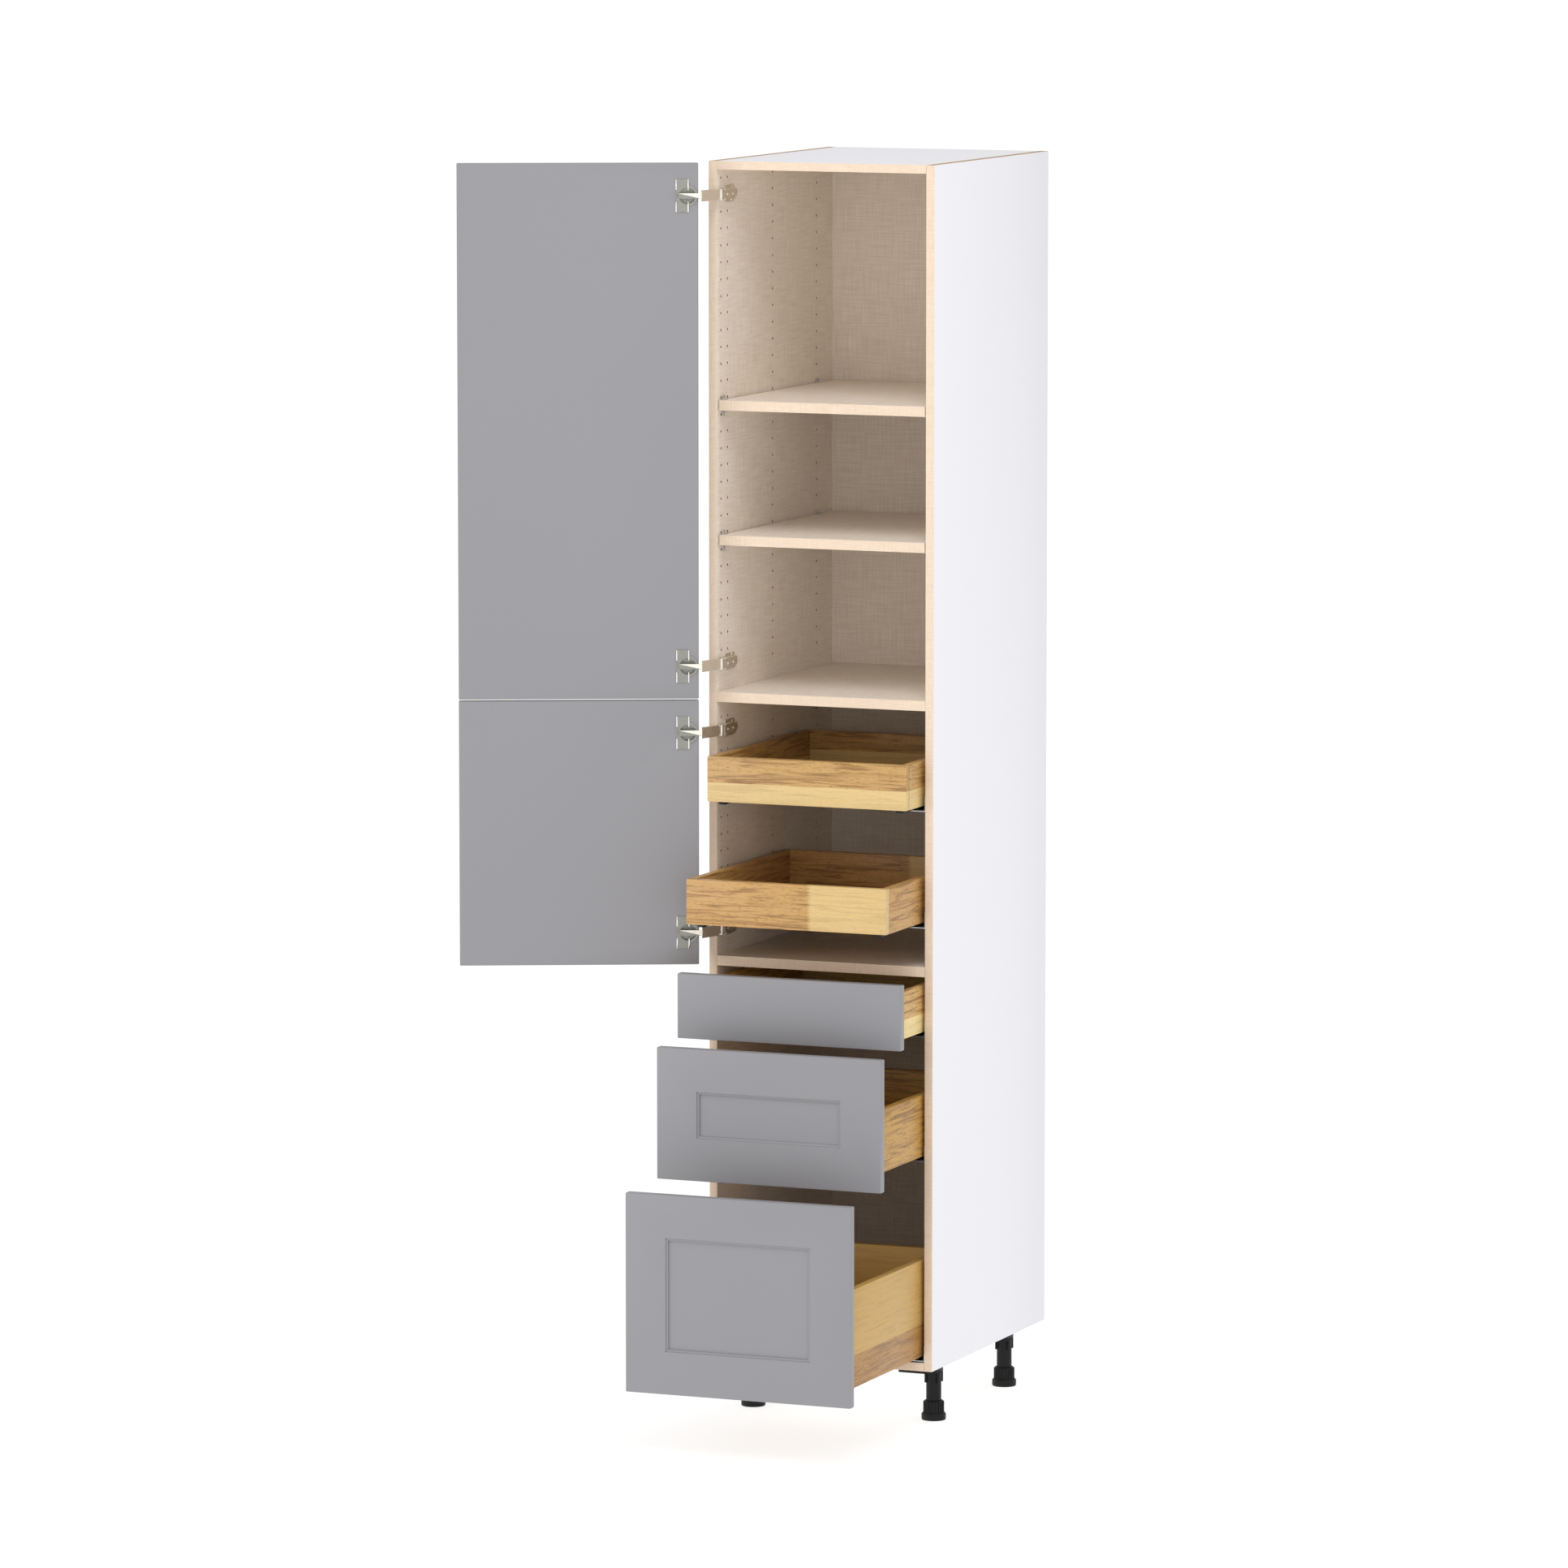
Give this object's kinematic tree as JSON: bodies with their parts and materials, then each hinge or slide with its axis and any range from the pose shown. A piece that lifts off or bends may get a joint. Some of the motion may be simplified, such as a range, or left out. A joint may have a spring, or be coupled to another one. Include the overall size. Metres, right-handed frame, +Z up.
{
  "type": "pantry cabinet",
  "caption": "Tall frameless pantry cabinet on levelling legs, with two wide-opening doors, framed drawer fronts, shelves and roll-out wooden trays.",
  "frame": {"origin": "under the middle of the whole object in its stored half-open pose, on the floor", "axes": "+X to the right seen from the front, +Y from the front to the back, +Z up"},
  "size_m": [0.8744, 1.012, 2.4003],
  "materials": {
    "melamine": "satin white melamine-faced particle board",
    "linen_board": "linen-weave melamine-faced board",
    "satin_grey": "smooth satin grey paint on board",
    "rubberwood": "clear-lacquered solid wood in glued strips",
    "nickel": "nickel-plated pressed and cast steel",
    "zinc_steel": "galvanised sheet steel",
    "black_plastic": "moulded black plastic"
  },
  "bodies": {
    "cabinet": {"back": "linen_board", "bottom": "linen_board", "deck": "linen_board", "drawer_1_slide_left": "zinc_steel", "drawer_1_slide_right": "zinc_steel", "drawer_2_slide_left": "zinc_steel", "drawer_2_slide_right": "zinc_steel", "drawer_3_slide_left": "zinc_steel", "drawer_3_slide_right": "zinc_steel", "fixed_shelf": "linen_board", "hanging_rail": "linen_board", "hinge_1_arm": "nickel", "hinge_2_arm": "nickel", "hinge_3_arm": "nickel", "hinge_4_arm": "nickel", "leg_front_left": "black_plastic", "leg_front_right": "black_plastic", "leg_rear_left": "black_plastic", "leg_rear_right": "black_plastic", "loose_shelf_high": "linen_board", "loose_shelf_low": "linen_board", "side_left": "melamine", "side_right": "melamine", "top": "melamine", "tray_1_slide_left": "zinc_steel", "tray_1_slide_right": "zinc_steel", "tray_2_slide_left": "zinc_steel", "tray_2_slide_right": "zinc_steel"},
    "door_lower": {"door_lower": "satin_grey", "door_lower_cup_1": "nickel", "door_lower_cup_2": "nickel"},
    "door_upper": {"door_upper": "satin_grey", "door_upper_cup_1": "nickel", "door_upper_cup_2": "nickel"},
    "drawer_1": {"drawer_1_box": "rubberwood", "drawer_1_front": "satin_grey"},
    "drawer_1_runners": {"drawer_1_runner_left": "zinc_steel", "drawer_1_runner_right": "zinc_steel"},
    "drawer_2": {"drawer_2_box": "rubberwood", "drawer_2_front": "satin_grey"},
    "drawer_2_runners": {"drawer_2_runner_left": "zinc_steel", "drawer_2_runner_right": "zinc_steel"},
    "drawer_3": {"drawer_3_box": "rubberwood", "drawer_3_front": "satin_grey"},
    "drawer_3_runners": {"drawer_3_runner_left": "zinc_steel", "drawer_3_runner_right": "zinc_steel"},
    "foot_front_left": {"foot_front_left": "black_plastic"},
    "foot_front_right": {"foot_front_right": "black_plastic"},
    "foot_rear_left": {"foot_rear_left": "black_plastic"},
    "foot_rear_right": {"foot_rear_right": "black_plastic"},
    "hinge_1_link": {"hinge_1_link": "nickel"},
    "hinge_2_link": {"hinge_2_link": "nickel"},
    "hinge_3_link": {"hinge_3_link": "nickel"},
    "hinge_4_link": {"hinge_4_link": "nickel"},
    "tray_1": {"tray_1": "rubberwood"},
    "tray_1_runners": {"tray_1_runner_left": "zinc_steel", "tray_1_runner_right": "zinc_steel"},
    "tray_2": {"tray_2": "rubberwood"},
    "tray_2_runners": {"tray_2_runner_left": "zinc_steel", "tray_2_runner_right": "zinc_steel"}
  },
  "joints": [
    {"name": "door_upper_hinge", "type": "hinge", "parent": "cabinet", "child": "door_upper", "pos_m": [-0.02361, -0.12587, 1.9143], "axis": [0, 0, -1], "range_deg": [-155.07, 0]},
    {"name": "hinge_1_link_pivot", "type": "hinge", "parent": "cabinet", "child": "hinge_1_link", "pos_m": [0.00629, -0.099, 2.3371], "axis": [0, 0, -1], "range_deg": [-137.3, 0]},
    {"name": "hinge_2_link_pivot", "type": "hinge", "parent": "cabinet", "child": "hinge_2_link", "pos_m": [0.00629, -0.099, 1.4475], "axis": [0, 0, -1], "range_deg": [-137.3, 0]},
    {"name": "door_lower_hinge", "type": "hinge", "parent": "cabinet", "child": "door_lower", "pos_m": [-0.02361, -0.12587, 1.0143], "axis": [0, 0, -1], "range_deg": [-155.07, 0]},
    {"name": "hinge_3_link_pivot", "type": "hinge", "parent": "cabinet", "child": "hinge_3_link", "pos_m": [0.00629, -0.099, 1.3211], "axis": [0, 0, -1], "range_deg": [-137.3, 0]},
    {"name": "hinge_4_link_pivot", "type": "hinge", "parent": "cabinet", "child": "hinge_4_link", "pos_m": [0.00629, -0.099, 0.9395], "axis": [0, 0, -1], "range_deg": [-137.3, 0]},
    {"name": "drawer_1_slide", "type": "slide", "parent": "cabinet", "child": "drawer_1", "axis": [0, -1, 0], "range_m": [-0.1377, 0.3423]},
    {"name": "drawer_1_runner_slide", "type": "slide", "parent": "cabinet", "child": "drawer_1_runners", "axis": [0, -1, 0], "range_m": [-0.0689, 0.1712]},
    {"name": "drawer_2_slide", "type": "slide", "parent": "cabinet", "child": "drawer_2", "axis": [0, -1, 0], "range_m": [-0.2371, 0.2429]},
    {"name": "drawer_2_runner_slide", "type": "slide", "parent": "cabinet", "child": "drawer_2_runners", "axis": [0, -1, 0], "range_m": [-0.1187, 0.1215]},
    {"name": "drawer_3_slide", "type": "slide", "parent": "cabinet", "child": "drawer_3", "axis": [0, -1, 0], "range_m": [-0.387, 0.093]},
    {"name": "drawer_3_runner_slide", "type": "slide", "parent": "cabinet", "child": "drawer_3_runners", "axis": [0, -1, 0], "range_m": [-0.1936, 0.0466]},
    {"name": "tray_1_runner_slide", "type": "slide", "parent": "cabinet", "child": "tray_1_runners", "axis": [0, -1, 0], "range_m": [-0.1162, 0]},
    {"name": "tray_1_slide", "type": "slide", "parent": "tray_1_runners", "child": "tray_1", "axis": [0, -1, 0], "range_m": [0, 0.25]},
    {"name": "tray_2_runner_slide", "type": "slide", "parent": "cabinet", "child": "tray_2_runners", "axis": [0, -1, 0], "range_m": [-0.2614, 0]},
    {"name": "tray_2_slide", "type": "slide", "parent": "tray_2_runners", "child": "tray_2", "axis": [0, -1, 0], "range_m": [0, 0.25]},
    {"name": "foot_front_left_adjust", "type": "slide", "parent": "cabinet", "child": "foot_front_left", "axis": [0, 0, -1], "range_m": [0, 0.025]},
    {"name": "foot_front_right_adjust", "type": "slide", "parent": "cabinet", "child": "foot_front_right", "axis": [0, 0, -1], "range_m": [0, 0.025]},
    {"name": "foot_rear_left_adjust", "type": "slide", "parent": "cabinet", "child": "foot_rear_left", "axis": [0, 0, -1], "range_m": [0, 0.025]},
    {"name": "foot_rear_right_adjust", "type": "slide", "parent": "cabinet", "child": "foot_rear_right", "axis": [0, 0, -1], "range_m": [0, 0.025]}
  ],
  "couplings": [
    {"joint": "hinge_1_link_pivot", "follows": "door_upper_hinge", "ratio": 0.884},
    {"joint": "hinge_2_link_pivot", "follows": "door_upper_hinge", "ratio": 0.884},
    {"joint": "hinge_3_link_pivot", "follows": "door_lower_hinge", "ratio": 0.884},
    {"joint": "hinge_4_link_pivot", "follows": "door_lower_hinge", "ratio": 0.884},
    {"joint": "drawer_1_runner_slide", "follows": "drawer_1_slide", "ratio": 0.5},
    {"joint": "drawer_2_runner_slide", "follows": "drawer_2_slide", "ratio": 0.5},
    {"joint": "drawer_3_runner_slide", "follows": "drawer_3_slide", "ratio": 0.5},
    {"joint": "tray_1_runner_slide", "follows": "door_lower_hinge", "m_per_rad": 0.04286},
    {"joint": "tray_2_runner_slide", "follows": "door_lower_hinge", "m_per_rad": 0.096509}
  ]
}
